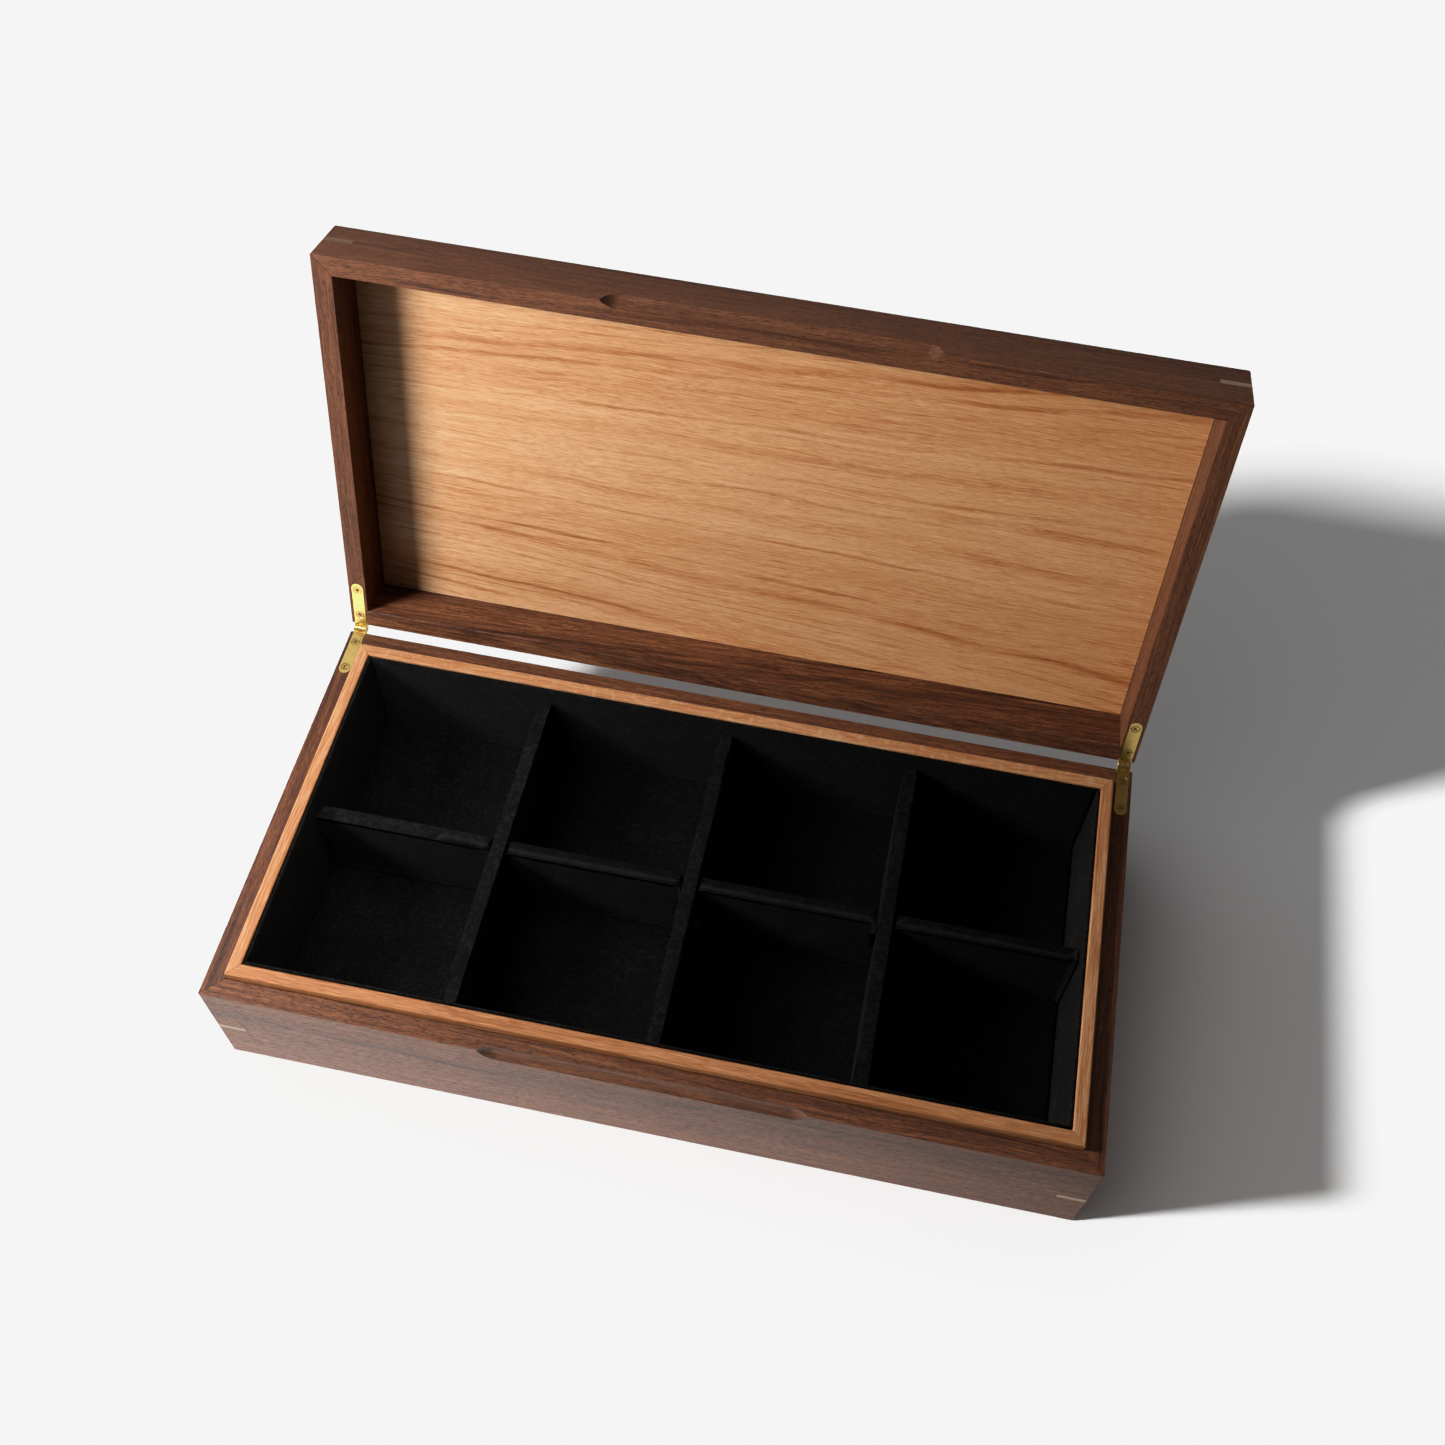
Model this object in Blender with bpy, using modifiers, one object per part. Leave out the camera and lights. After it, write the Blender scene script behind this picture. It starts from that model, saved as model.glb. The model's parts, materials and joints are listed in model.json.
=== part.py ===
"""A walnut watch box with a hinged lid, an oak liner, eight suede cells and two brass hinges.

Blender 4.5, in metres, +Z up. The origin is the centre of the underside. +X runs along the box
to the right, and the front faces -Y. The lid is drawn closed, on an empty that lies on the
hinges' axis, and the empty is then turned so that the lid stands open against its stop.
"""

from math import asin, cos, pi, radians, sin, sqrt, tan

import bmesh
import bpy
from mathutils import Matrix, Vector

# Overall sizes
LENGTH = 0.420
DEPTH = 0.213
BASE_HEIGHT = 0.070
LID_HEIGHT = 0.0314
OPEN_ANGLE = radians(104.5)

# Clearances
GAP = 0.0003
GLUE_GAP = 0.00015
SPARE = 0.002  # how far a blank or a cutter runs past the faces that trim it

# Walnut frames
WALL = 0.0096
RABBET = 0.005
INNER_EASE = 0.0003
BASE_EASE = {"upright": 0.0005, "bottom": 0.0008, "top": 0.0003}
LID_EASE = {"upright": 0.0005, "bottom": 0.0003, "top": 0.0018}
BOTTOM_PANEL = 0.009

# Lid panels
TRAY_DEPTH = 0.0245
TOP_PANEL = 0.0034

# Oak liner, lining boards, floor pad and dividers
LINER = 0.0064
LINER_PROUD = 0.0051
LINER_ROUND = 0.0009
LINING = 0.0016
LINING_DROP = 0.0008
LINING_ROUND = 0.0006
FLOOR_TOP = 0.0148
FLOOR_ROUND = 0.0012
DIVIDER = 0.0076
DIVIDER_DROP = 0.0103
DIVIDER_ROUND = 0.0012
DIVIDER_END_ROUND = 0.0035
CELLS_ALONG = 4

# Corner keys
KEY_THICKNESS = 0.0032
KEY_REACH = 0.014
BASE_KEY_HEIGHT = 0.032
LID_KEY_HEIGHT = 0.0165

# Finger groove, cut by a round-nosed bit that runs along the seam
GROOVE_RADIUS = 0.0127
GROOVE_DEPTH = 0.003
GROOVE_STRAIGHT = 0.1372
GROOVE_SIDES = 96

# Hinges
STRAP_WIDTH = 0.00635
STRAP_LENGTH = 0.027
STRAP_THICKNESS = 0.0023
KNUCKLE_RADIUS = STRAP_THICKNESS + GAP / 2  # the strap's underside runs straight into it
AXIS_SETBACK = 0.0028
LID_KNUCKLE_WIDTH = 0.0020
KNUCKLE_SIDE_GAP = 0.00015
PIN_RADIUS = 0.0008
PIN_CLEARANCE = 0.00005
PIN_END = 0.0003
ROUND_SIDES = 32

# Screws
SCREW_PLACES = (0.0064, 0.0229)  # from the back face
SCREW_HEAD_RADIUS = 0.0022
SCREW_SHANK_RADIUS = 0.0011
SCREW_LENGTH = 0.012
SCREW_POINT = 0.0025
SCREW_SINK = 0.0001
SCREW_CLEARANCE = 0.0002
SCREW_SIDES = 24
RECESS_ARM = 0.0012
RECESS_HALF_WIDTH = 0.0003
RECESS_DEPTH = 0.0009
FIRST_SCREW_TURN = radians(20)
SCREW_TURN_STEP = radians(37)

# Heights that follow
RIM = BASE_HEIGHT
LID_RIM = RIM + GAP
LID_TOP = LID_RIM + LID_HEIGHT
AXIS_HEIGHT = RIM + GAP / 2
AXIS = Vector((0, DEPTH / 2 + AXIS_SETBACK, AXIS_HEIGHT))
TOP_LEDGE = LID_TOP - TOP_PANEL - GAP
FLOOR_BOARD_TOP = BOTTOM_PANEL + GAP
LINER_TOP = RIM + LINER_PROUD
LINING_TOP = LINER_TOP - LINING_DROP
DIVIDER_TOP = LINER_TOP - DIVIDER_DROP
DIVIDER_FOOT = FLOOR_TOP + GAP

# Distances inwards from the outer faces
LINER_INSET = WALL + GAP
LINING_INSET = LINER_INSET + LINER + GAP
CELL_INSET = LINING_INSET + LINING + GAP
PANEL_INSET = WALL - RABBET + GAP

PARTS = "watch_box"
CUTTERS = "cutters"
SIDES = ("front", "right", "back", "left")
ACROSS = {"left": -1, "right": 1}


# ---------------------------------------------------------------- scene and materials


def clear_scene():
    for obj in list(bpy.data.objects):
        bpy.data.objects.remove(obj, do_unlink=True)


def new_collection(name):
    collection = bpy.data.collections.new(name)
    bpy.context.scene.collection.children.link(collection)
    return collection


def material(name, colour, roughness, metallic=0.0):
    made = bpy.data.materials.new(name)
    made.use_nodes = True
    shader = made.node_tree.nodes["Principled BSDF"]
    shader.inputs["Base Color"].default_value = (*colour, 1.0)
    shader.inputs["Roughness"].default_value = roughness
    shader.inputs["Metallic"].default_value = metallic
    made.diffuse_color = (*colour, 1.0)
    return made


# ---------------------------------------------------------------- basic shapes


def add_part(name, mesh, finish, parent=None):
    """A named piece of the box. A piece of the lid is drawn closed and hangs on the axis."""
    obj = bpy.data.objects.new(name, mesh)
    bpy.data.collections[PARTS].objects.link(obj)
    mesh.materials.clear()
    mesh.materials.append(finish)
    hang(obj, parent)
    return obj


def add_cutter(name, mesh, parent=None):
    obj = bpy.data.objects.new(name, mesh)
    bpy.data.collections[CUTTERS].objects.link(obj)
    obj.hide_render = True
    obj.display_type = "WIRE"
    hang(obj, parent)
    return obj


def hang(obj, parent):
    if parent is not None:
        obj.parent = parent
        obj.matrix_parent_inverse = Matrix.Translation(-parent.location)


def boolean(obj, other, operation="DIFFERENCE"):
    modifier = obj.modifiers.new(other.name, "BOOLEAN")
    modifier.operation = operation
    modifier.object = other


def frozen(obj):
    """The mesh of an object with its modifiers done, in world space. The object goes."""
    bpy.context.view_layer.update()
    evaluated = obj.evaluated_get(bpy.context.evaluated_depsgraph_get())
    mesh = bpy.data.meshes.new_from_object(evaluated)
    mesh.transform(obj.matrix_world)
    bpy.data.objects.remove(obj, do_unlink=True)
    return mesh


def add_rounding(obj, width):
    """Rounds the edges of a piece that stand out at a right angle."""
    shape = bmesh.new()
    shape.from_mesh(obj.data)
    weight = shape.edges.layers.float.new("bevel_weight_edge")
    for edge in shape.edges:
        edge[weight] = float(edge.calc_face_angle_signed() > radians(60))
    shape.to_mesh(obj.data)
    shape.free()
    bevel = obj.modifiers.new("rounded", "BEVEL")
    bevel.width = width
    bevel.segments = 3
    bevel.limit_method = "WEIGHT"


def smooth(mesh, angle=radians(35)):
    mesh.shade_smooth()
    mesh.set_sharp_from_angle(angle=angle)


def box_mesh(low, high):
    """A box between two corners."""
    low = Vector(low)
    high = Vector(high)
    mesh = bpy.data.meshes.new("box")
    shape = bmesh.new()
    bmesh.ops.create_cube(shape, size=1.0)
    shape.to_mesh(mesh)
    shape.free()
    mesh.transform(Matrix.Translation((low + high) / 2) @ Matrix.Diagonal((*(high - low), 1.0)))
    return mesh


def joined(meshes):
    """One mesh that holds several, which stay separate solids."""
    shape = bmesh.new()
    for mesh in meshes:
        shape.from_mesh(mesh)
    mesh = bpy.data.meshes.new("joined")
    shape.to_mesh(mesh)
    shape.free()
    return mesh


def filleted(corners, steps=5):
    """An outline whose corners, given as (x, y, radius), are turned into arcs."""
    points = []
    for index, (x, y, radius) in enumerate(corners):
        corner = Vector((x, y))
        before = (Vector(corners[index - 1][:2]) - corner).normalized()
        after = (Vector(corners[(index + 1) % len(corners)][:2]) - corner).normalized()
        if radius == 0:
            points.append(corner)
            continue
        half = before.angle(after) / 2
        start = corner + before * radius / tan(half)
        end = corner + after * radius / tan(half)
        centre = corner + (before + after).normalized() * radius / sin(half)
        for step in range(steps + 1):
            spoke = (start - centre).slerp(end - centre, step / steps)
            points.append(centre + spoke.normalized() * radius)
    return points


def prism(outline, thickness):
    """A flat outline in X and Y, given its thickness along Z and centred on Z = 0."""
    curve = bpy.data.curves.new("outline", "CURVE")
    curve.dimensions = "2D"
    curve.fill_mode = "BOTH"
    curve.extrude = thickness / 2
    spline = curve.splines.new("POLY")
    spline.points.add(len(outline) - 1)
    for point, place in zip(spline.points, outline):
        point.co = (place[0], place[1], 0, 1)
    spline.use_cyclic_u = True
    guide = bpy.data.objects.new("outline", curve)
    bpy.context.scene.collection.objects.link(guide)
    mesh = frozen(guide)
    bpy.data.curves.remove(curve)
    shape = bmesh.new()
    shape.from_mesh(mesh)
    bmesh.ops.remove_doubles(shape, verts=shape.verts, dist=1e-6)
    bmesh.ops.recalc_face_normals(shape, faces=shape.faces)
    shape.to_mesh(mesh)
    shape.free()
    mesh.materials.clear()
    return mesh


def turned(profile, sides):
    """A solid of revolution about Z. The profile's (radius, height) points run top to bottom."""
    mesh = bpy.data.meshes.new("profile")
    points = [(radius, 0, height) for radius, height in profile]
    mesh.from_pydata(points, [(i, i + 1) for i in range(len(points) - 1)], [])
    blank = bpy.data.objects.new("profile", mesh)
    bpy.context.scene.collection.objects.link(blank)
    screw = blank.modifiers.new("turn", "SCREW")
    screw.steps = sides
    screw.render_steps = sides
    screw.use_merge_vertices = True
    screw.merge_threshold = 0.00001
    screw.use_smooth_shade = True
    return frozen(blank)


def envelope(low, high, ease):
    """The outside of a glued-up frame: a box with its upright, bottom and top edges eased."""
    mesh = box_mesh(low, high)
    widest = max(ease.values())
    weights = mesh.attributes.new("bevel_weight_edge", "FLOAT", "EDGE")
    for edge in mesh.edges:
        heights = [mesh.vertices[index].co.z for index in edge.vertices]
        if abs(heights[0] - heights[1]) > GAP:
            kind = "upright"
        elif heights[0] < (low[2] + high[2]) / 2:
            kind = "bottom"
        else:
            kind = "top"
        weights.data[edge.index].value = ease[kind] / widest
    blank = bpy.data.objects.new("envelope", mesh)
    bpy.context.scene.collection.objects.link(blank)
    bevel = blank.modifiers.new("ease", "BEVEL")
    bevel.limit_method = "WEIGHT"
    bevel.width = widest
    bevel.segments = 4
    return frozen(blank)


# ---------------------------------------------------------------- mitred frames


def mitred_board(section, side, inset):
    """One board of a four-sided frame.

    The section's points are (distance inwards from the frame's outer face, height). The frame
    lies `inset` inside the box's outer faces, and the board's ends are mitred at 45 degrees.
    """
    turn = SIDES.index(side)
    along, across = (LENGTH, DEPTH) if turn % 2 == 0 else (DEPTH, LENGTH)
    half = along / 2 - inset
    mesh = prism(section, 2.0)
    for vertex in mesh.vertices:
        end = 1 if vertex.co.z > 0 else -1
        vertex.co.z = end * (half - vertex.co.x - GLUE_GAP / sqrt(2))
    # The section's X, Y and Z become the frame's Y, Z and X.
    upright = Matrix(((0, 0, 1, 0), (1, 0, 0, 0), (0, 1, 0, 0), (0, 0, 0, 1)))
    place = Matrix.Translation((0, inset - across / 2, 0))
    mesh.transform(Matrix.Rotation(turn * pi / 2, 4, "Z") @ place @ upright)
    return mesh


def wall_section():
    """A base wall, oversize where the envelope trims it, with a rabbet for the bottom."""
    rabbet_top = BOTTOM_PANEL + GAP
    return [
        (-SPARE, -SPARE),
        (WALL - RABBET, -SPARE),
        (WALL - RABBET, rabbet_top),
        (WALL, rabbet_top),
        (WALL, RIM - INNER_EASE),
        (WALL - INNER_EASE - SPARE, RIM + SPARE),
        (-SPARE, RIM + SPARE),
    ]


def rail_section():
    """A lid rail, oversize where the envelope trims it, with a rabbet for the top panel."""
    return [
        (-SPARE, LID_RIM - SPARE),
        (WALL - INNER_EASE - SPARE, LID_RIM - SPARE),
        (WALL, LID_RIM + INNER_EASE),
        (WALL, TOP_LEDGE),
        (WALL - RABBET, TOP_LEDGE),
        (WALL - RABBET, LID_TOP + SPARE),
        (-SPARE, LID_TOP + SPARE),
    ]


def board_section(thickness, foot, top, radius):
    """An upright board whose two top edges are rounded."""
    return filleted([(0, foot, 0), (thickness, foot, 0), (thickness, top, radius), (0, top, radius)])


def add_frame(prefix, suffix, section, inset, finish, parent=None):
    """The four boards of a frame, by side."""
    boards = {}
    for side in SIDES:
        mesh = mitred_board(section, side, inset)
        smooth(mesh)
        boards[side] = add_part(f"{prefix}_{side}{suffix}", mesh, finish, parent)
    return boards


# ---------------------------------------------------------------- corner keys and groove


def key_blank(corner, height, clearance):
    """A flat square set cornerwise over one of the box's corners."""
    reach = KEY_REACH / sqrt(2) + clearance
    half = KEY_THICKNESS / 2 + clearance
    mesh = box_mesh((-reach, -reach, -half), (reach, reach, half))
    place = Matrix.Translation((corner[0] * LENGTH / 2, corner[1] * DEPTH / 2, height))
    mesh.transform(place @ Matrix.Rotation(pi / 4, 4, "Z"))
    return mesh


def add_keys(prefix, height, outside, boards, finish, parent=None):
    """Keys let across the mitres and planed flush with the frame."""
    for end, y in (("front", -1), ("back", 1)):
        for side, x in ACROSS.items():
            name = f"{prefix}_key_{end}_{side}"
            slot = add_cutter(f"{name}_slot", key_blank((x, y), height, GLUE_GAP), parent)
            boolean(boards[end], slot)
            boolean(boards[side], slot)
            key = add_part(name, key_blank((x, y), height, 0), finish, parent)
            boolean(key, outside, "INTERSECT")


def groove_mesh():
    """The path of the round-nosed bit: a bar with ball ends along the seam of the front."""
    steps = 14
    arc = [i * pi / 2 / steps for i in range(steps + 1)]
    half = GROOVE_STRAIGHT / 2
    profile = [(GROOVE_RADIUS * sin(a), half + GROOVE_RADIUS * cos(a)) for a in arc]
    profile += [(radius, -height) for radius, height in reversed(profile)]
    mesh = turned(profile, GROOVE_SIDES)
    outside = GROOVE_RADIUS - GROOVE_DEPTH
    place = Matrix.Translation((0, -DEPTH / 2 - outside, AXIS_HEIGHT))
    mesh.transform(place @ Matrix.Rotation(pi / 2, 4, "Y"))
    return mesh


# ---------------------------------------------------------------- dividers


def divider_outline(half_length, foot, top, slots, slot_foot, slot_top):
    """A board seen from its face, with halving slots cut from whichever edge they reach."""
    half_slot = DIVIDER / 2 + GAP
    below = slot_foot <= foot
    corners = [(-half_length, foot, 0)]
    if below:
        for centre in slots:
            corners += [
                (centre - half_slot, foot, 0),
                (centre - half_slot, slot_top, 0),
                (centre + half_slot, slot_top, 0),
                (centre + half_slot, foot, 0),
            ]
    corners += [(half_length, foot, 0), (half_length, top, 0)]
    if not below:
        for centre in reversed(slots):
            corners += [
                (centre + half_slot, top, DIVIDER_END_ROUND),
                (centre + half_slot, slot_foot, 0),
                (centre - half_slot, slot_foot, 0),
                (centre - half_slot, top, DIVIDER_END_ROUND),
            ]
    corners.append((-half_length, top, 0))
    return filleted(corners)


def add_divider(name, outline, place, finish):
    mesh = prism(outline, DIVIDER)
    mesh.transform(place)
    smooth(mesh)
    divider = add_part(name, mesh, finish)
    add_rounding(divider, DIVIDER_ROUND)


def add_dividers(finish):
    """One long divider with slots from above, and cross dividers with a slot from below."""
    inner_length = LENGTH - 2 * CELL_INSET
    inner_depth = DEPTH - 2 * CELL_INSET
    pitch = (inner_length + DIVIDER) / CELLS_ALONG
    places = [(index - CELLS_ALONG / 2) * pitch for index in range(1, CELLS_ALONG)]
    middle = (DIVIDER_FOOT + DIVIDER_TOP) / 2
    half_gap = GAP / 2

    outline = divider_outline(
        inner_length / 2, DIVIDER_FOOT, DIVIDER_TOP, places, middle - half_gap, DIVIDER_TOP
    )
    stand = Matrix.Rotation(pi / 2, 4, "X")
    add_divider("long_divider", outline, stand, finish)

    outline = divider_outline(
        inner_depth / 2, DIVIDER_FOOT, DIVIDER_TOP, [0], DIVIDER_FOOT, middle + half_gap
    )
    for name, place in zip(("left", "middle", "right"), places):
        turned_stand = Matrix.Rotation(pi / 2, 4, "Z") @ stand
        where = Matrix.Translation((place, 0, 0)) @ turned_stand
        add_divider(f"cross_divider_{name}", outline, where, finish)


# ---------------------------------------------------------------- hinges


def across_box(y_z_outline, centre, width):
    """An outline in Y and Z, given its width along X about a centre."""
    mesh = prism(y_z_outline, width)
    # The outline's X, Y and Z become Y, Z and X.
    turn = Matrix(((0, 0, 1, 0), (1, 0, 0, 0), (0, 1, 0, 0), (0, 0, 0, 1)))
    mesh.transform(Matrix.Translation((centre, 0, 0)) @ turn)
    return mesh


def mirrored(mesh):
    """The mesh reflected in the level plane through the hinges' axis."""
    flip = Matrix.Translation((0, 0, 2 * AXIS_HEIGHT)) @ Matrix.Diagonal((1, 1, -1, 1))
    mesh.transform(flip)
    mesh.flip_normals()
    return mesh


def leaf_side_view():
    """The base leaf from the side: a strap that runs into a knuckle round the axis."""
    steps = 20
    start = -pi / 2
    end = pi + asin(GAP / 2 / KNUCKLE_RADIUS)
    arc = [start + (end - start) * i / steps for i in range(steps + 1)]
    front = DEPTH / 2 - STRAP_LENGTH - SPARE
    points = [(front, RIM), (front, AXIS.z - KNUCKLE_RADIUS)]
    points += [
        (AXIS.y + KNUCKLE_RADIUS * cos(a), AXIS.z + KNUCKLE_RADIUS * sin(a)) for a in arc
    ]
    return points


def strap_plan(x, clearance, back):
    """A strap's outline from above, square at the back and round at the front."""
    half = STRAP_WIDTH / 2 + clearance
    front = DEPTH / 2 - STRAP_LENGTH - clearance
    return filleted(
        [(x - half, front, half), (x + half, front, half), (x + half, back, 0), (x - half, back, 0)],
        steps=8,
    )


def upright_prism(outline, low, high):
    mesh = prism(outline, high - low)
    mesh.transform(Matrix.Translation((0, 0, (low + high) / 2)))
    return mesh


def turned_bar(x, half_length, radius, chamfer=0.0):
    """A round bar on the hinges' axis, with chamfered ends."""
    profile = [(0, half_length), (radius - chamfer, half_length)]
    if chamfer:
        profile.append((radius, half_length - chamfer))
        profile.append((radius, chamfer - half_length))
    profile += [(radius - chamfer, -half_length), (0, -half_length)]
    mesh = turned(profile, ROUND_SIDES)
    mesh.transform(Matrix.Translation((x, AXIS.y, AXIS.z)) @ Matrix.Rotation(pi / 2, 4, "Y"))
    return mesh


def screw_hole(clearance):
    """A countersunk hole, or the screw that fits it, about Z with its head's top at Z = 0."""
    head = SCREW_HEAD_RADIUS + clearance
    shank = SCREW_SHANK_RADIUS + clearance
    end = -SCREW_LENGTH - clearance
    profile = [
        (0, SPARE if clearance else 0),
        (head, SPARE if clearance else 0),
        (head, -SCREW_SINK),
        (shank, -SCREW_SINK - head + shank),
        (shank, end + SCREW_POINT),
        (0, end),
    ]
    return turned(profile, SCREW_SIDES)


def screw_mesh():
    """A countersunk screw with a cross recess, about Z."""
    arm = RECESS_ARM
    half = RECESS_HALF_WIDTH
    cross = []
    for quarter in range(4):
        turn = Matrix.Rotation(quarter * pi / 2, 2)
        cross += [turn @ Vector(point) for point in ((half, half), (half, arm), (-half, arm))]
    recess = add_cutter("screw_recess", upright_prism(cross, -RECESS_DEPTH, SPARE))
    screw = bpy.data.objects.new("screw", screw_hole(0))
    bpy.context.scene.collection.objects.link(screw)
    boolean(screw, recess)
    mesh = frozen(screw)
    bpy.data.objects.remove(recess, do_unlink=True)
    smooth(mesh)
    return mesh


def placed_screws(mesh, x, first_turn):
    """Copies of a screw or a hole at the two screw places of a base leaf, the rear one first."""
    copies = []
    for index, place in enumerate(SCREW_PLACES):
        copy = mesh.copy()
        spin = Matrix.Rotation(first_turn + index * SCREW_TURN_STEP, 4, "Z")
        where = Matrix.Translation((x, DEPTH / 2 - place, RIM - SCREW_SINK))
        copy.transform(where @ spin)
        copies.append(copy)
    return copies


def as_drawn(mesh):
    return mesh


def knuckle_slots(leaf, x, back):
    """What is cut from a leaf round the axis, so that one knuckle turns between two ears."""
    half = LID_KNUCKLE_WIDTH / 2
    if leaf == "base":
        spans = [(x - half - KNUCKLE_SIDE_GAP, x + half + KNUCKLE_SIDE_GAP)]
    else:
        spans = [(x - STRAP_WIDTH, x - half), (x + half, x + STRAP_WIDTH)]
    slots = []
    for low, high in spans:
        front_corner = (low, DEPTH / 2, RIM - STRAP_WIDTH)
        slots.append(box_mesh(front_corner, (high, back, RIM + STRAP_WIDTH)))
    return joined(slots)


def add_leaf(side, leaf, boards, finishes, parent):
    """A leaf let into the rims of a side board and the back board, and its two screws.

    It is drawn as a base leaf. The lid's is the same, reflected in the seam.
    """
    name = f"{side}_hinge_{leaf}_leaf"
    place = mirrored if leaf == "lid" else as_drawn
    x = ACROSS[side] * (LENGTH / 2 - WALL / 2)
    back = DEPTH / 2 + 2 * AXIS_SETBACK + SPARE
    foot = AXIS.z - KNUCKLE_RADIUS

    strap = place(across_box(leaf_side_view(), x, STRAP_WIDTH))
    strap = add_part(name, strap, finishes["brass"], parent)
    plan = upright_prism(strap_plan(x, 0, back), foot - SPARE, AXIS.z + KNUCKLE_RADIUS + SPARE)
    boolean(strap, add_cutter(f"{name}_plan", place(plan), parent), "INTERSECT")
    slots = add_cutter(f"{name}_slots", place(knuckle_slots(leaf, x, back)), parent)
    boolean(strap, slots)
    bore = turned_bar(x, STRAP_WIDTH / 2 + SPARE, PIN_RADIUS + PIN_CLEARANCE)
    boolean(strap, add_cutter(f"{name}_bore", bore, parent))

    holes = joined(placed_screws(screw_hole(SCREW_CLEARANCE), x, 0))
    holes = add_cutter(f"{name}_screw_holes", place(holes), parent)
    mortise = upright_prism(strap_plan(x, GAP, back), foot - GAP, RIM + SPARE)
    mortise = add_cutter(f"{name}_mortise", place(mortise), parent)
    boolean(strap, holes)
    for board in (boards[side], boards["back"]):
        boolean(board, holes)
        boolean(board, mortise)

    first_turn = FIRST_SCREW_TURN * (1 if leaf == "base" else 3) * (2 + ACROSS[side])
    for end, mesh in zip(("rear", "front"), placed_screws(screw_mesh(), x, first_turn)):
        add_part(f"{side}_{leaf}_leaf_{end}_screw", place(mesh), finishes["screw"], parent)


def add_pin(side, finish):
    x = ACROSS[side] * (LENGTH / 2 - WALL / 2)
    pin = turned_bar(x, STRAP_WIDTH / 2 + PIN_END, PIN_RADIUS, PIN_END)
    smooth(pin)
    add_part(f"{side}_hinge_pin", pin, finish)


# ---------------------------------------------------------------- base and lid


def add_panel(name, inset, low, high, finish, parent=None):
    corner = Vector((LENGTH / 2 - inset, DEPTH / 2 - inset, 0))
    mesh = box_mesh(-corner + Vector((0, 0, low)), corner + Vector((0, 0, high)))
    return add_part(name, mesh, finish, parent)


def add_walnut_frame(prefix, suffix, section, low, high, ease, finish, parent=None):
    """Four mitred boards planed to one eased outside, and that outside as a cutter."""
    half = Vector((LENGTH / 2, DEPTH / 2, 0))
    mesh = envelope(-half + Vector((0, 0, low)), half + Vector((0, 0, high)), ease)
    outside = add_cutter(f"{prefix}_outside", mesh, parent)
    boards = add_frame(prefix, suffix, section, 0, finish, parent)
    for board in boards.values():
        boolean(board, outside, "INTERSECT")
    return boards, outside


def add_base(finishes):
    walls, outside = add_walnut_frame(
        "base", "_wall", wall_section(), 0, RIM, BASE_EASE, finishes["walnut"]
    )
    add_keys("base", BASE_KEY_HEIGHT, outside, walls, finishes["maple"])
    add_panel("base_bottom_panel", PANEL_INSET, 0, BOTTOM_PANEL, finishes["plywood"])

    liner = board_section(LINER, FLOOR_BOARD_TOP, LINER_TOP, LINER_ROUND)
    add_frame("liner", "", liner, LINER_INSET, finishes["oak"])
    lining = board_section(LINING, FLOOR_BOARD_TOP, LINING_TOP, LINING_ROUND)
    add_frame("lining", "", lining, LINING_INSET, finishes["suede"])

    pad = add_panel("floor_pad", CELL_INSET, FLOOR_BOARD_TOP, FLOOR_TOP, finishes["suede"])
    smooth(pad.data)
    add_rounding(pad, FLOOR_ROUND)
    add_dividers(finishes["suede"])
    return walls


def add_lid(finishes, lid_axis):
    rails, outside = add_walnut_frame(
        "lid", "_rail", rail_section(), LID_RIM, LID_TOP, LID_EASE, finishes["walnut"], lid_axis
    )
    key_height = LID_RIM + LID_KEY_HEIGHT
    add_keys("lid", key_height, outside, rails, finishes["maple"], lid_axis)
    top_foot = LID_TOP - TOP_PANEL
    add_panel("lid_top_panel", PANEL_INSET, top_foot, LID_TOP, finishes["walnut"], lid_axis)
    tray = LID_RIM + TRAY_DEPTH
    add_panel("lid_oak_panel", WALL + GAP, tray, TOP_LEDGE, finishes["oak"], lid_axis)
    return rails


def cut_groove(wall, rail, lid_axis):
    """The finger groove runs in the base's rim and, with the lid closed, in the lid's."""
    boolean(wall, add_cutter("base_groove", groove_mesh()))
    boolean(rail, add_cutter("lid_groove", groove_mesh(), lid_axis))


def main():
    clear_scene()
    new_collection(PARTS)
    new_collection(CUTTERS)
    finishes = {
        "walnut": material("walnut", (0.115, 0.052, 0.030), 0.50),
        "oak": material("oak", (0.560, 0.300, 0.140), 0.50),
        "plywood": material("plywood", (0.520, 0.380, 0.230), 0.65),
        "maple": material("maple", (0.480, 0.300, 0.170), 0.55),
        "suede": material("black_suede", (0.006, 0.006, 0.007), 0.95),
        "brass": material("brass", (0.780, 0.570, 0.200), 0.28, 1.0),
        "screw": material("brass_screw", (0.720, 0.530, 0.200), 0.32, 1.0),
    }
    lid_axis = bpy.data.objects.new("lid_hinge_axis", None)
    lid_axis.location = AXIS
    bpy.data.collections[PARTS].objects.link(lid_axis)
    walls = add_base(finishes)
    rails = add_lid(finishes, lid_axis)
    cut_groove(walls["front"], rails["front"], lid_axis)
    for side in ACROSS:
        add_leaf(side, "base", walls, finishes, None)
        add_leaf(side, "lid", rails, finishes, lid_axis)
        add_pin(side, finishes["brass"])
    lid_axis.rotation_euler.x = -OPEN_ANGLE


main()
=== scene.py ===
import json
from math import pi, radians, sin

import bmesh
import bpy
from mathutils import Euler, Matrix, Vector, noise


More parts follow.
